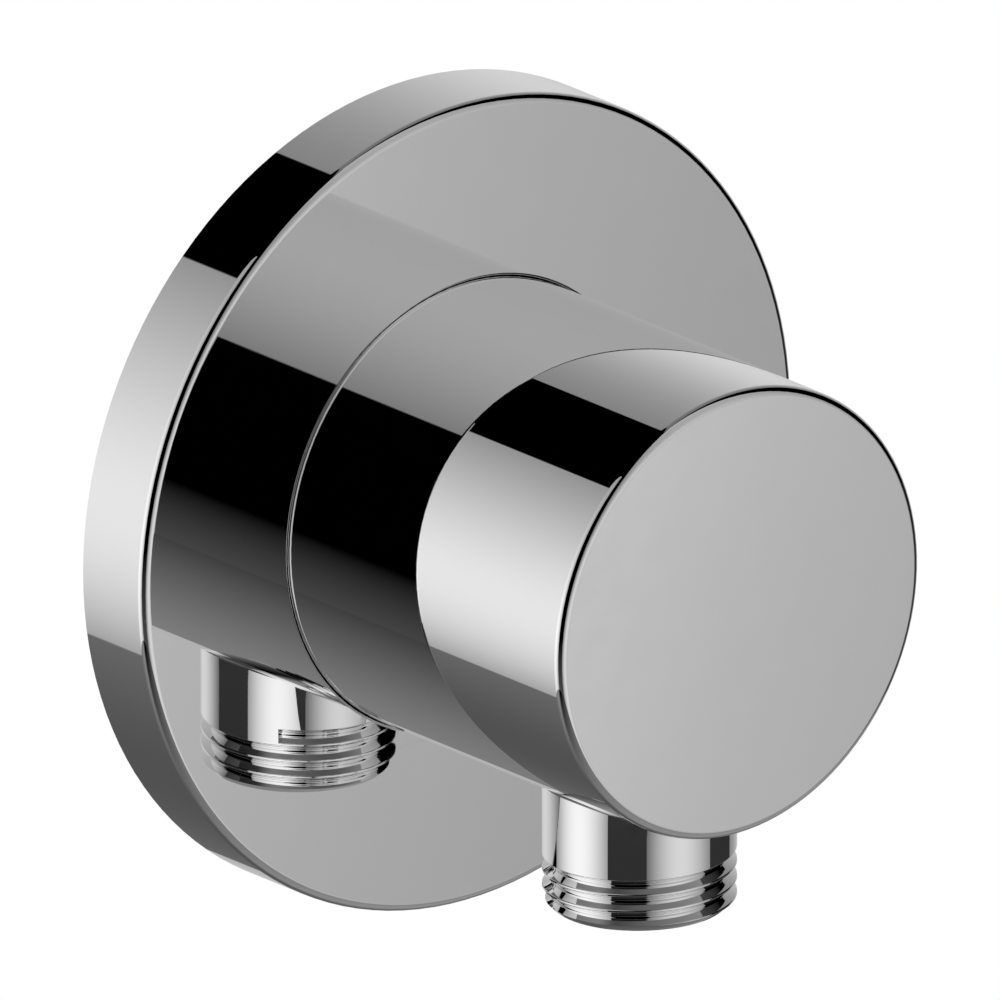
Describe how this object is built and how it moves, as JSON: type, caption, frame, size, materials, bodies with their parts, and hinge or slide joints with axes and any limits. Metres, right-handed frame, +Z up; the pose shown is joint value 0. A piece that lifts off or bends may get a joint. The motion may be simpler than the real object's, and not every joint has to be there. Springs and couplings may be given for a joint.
{
  "type": "wall outlet elbow",
  "caption": "Chromed wall outlet elbow for a shower hose: a round cover rose, a round body with a threaded outlet pointing down, and a check valve inside.",
  "frame": {"origin": "where the round body's axis meets the finished wall, at the root of the wall thread", "axes": "+Y goes into the wall along the wall thread, -Y is the front, +Z is up and -Z is the way the hose outlet points"},
  "size_m": [0.091, 0.0697, 0.091],
  "materials": {
    "polished_chrome": "mirror-polished chrome plating on brass",
    "bare_brass": "turned, unplated",
    "stainless_steel": "bright, as drawn or turned",
    "black_rubber": "moulded, satin",
    "grey_rubber": "moulded, matt",
    "white_acetal": "moulded, satin",
    "blue_acetal": "moulded, satin"
  },
  "bodies": {
    "elbow": {"rose": "polished_chrome", "rose_gasket": "grey_rubber", "rose_grip_ring": "black_rubber", "outlet_body": "polished_chrome", "wall_nipple": "bare_brass", "spigot_o_ring_inner": "black_rubber", "spigot_o_ring_outer": "black_rubber", "grub_screw": "stainless_steel", "valve_housing": "white_acetal", "valve_o_ring": "black_rubber", "valve_guide": "white_acetal", "valve_spring": "stainless_steel"},
    "poppet": {"valve_poppet": "blue_acetal", "poppet_seal": "black_rubber"}
  },
  "joints": [
    {"name": "valve_opening", "type": "slide", "parent": "elbow", "child": "poppet", "axis": [0, 0, -1], "range_m": [0, 0.0025], "stiffness_N_per_m": 140, "springref_m": -0.002, "deforming": ["valve_spring"]}
  ]
}
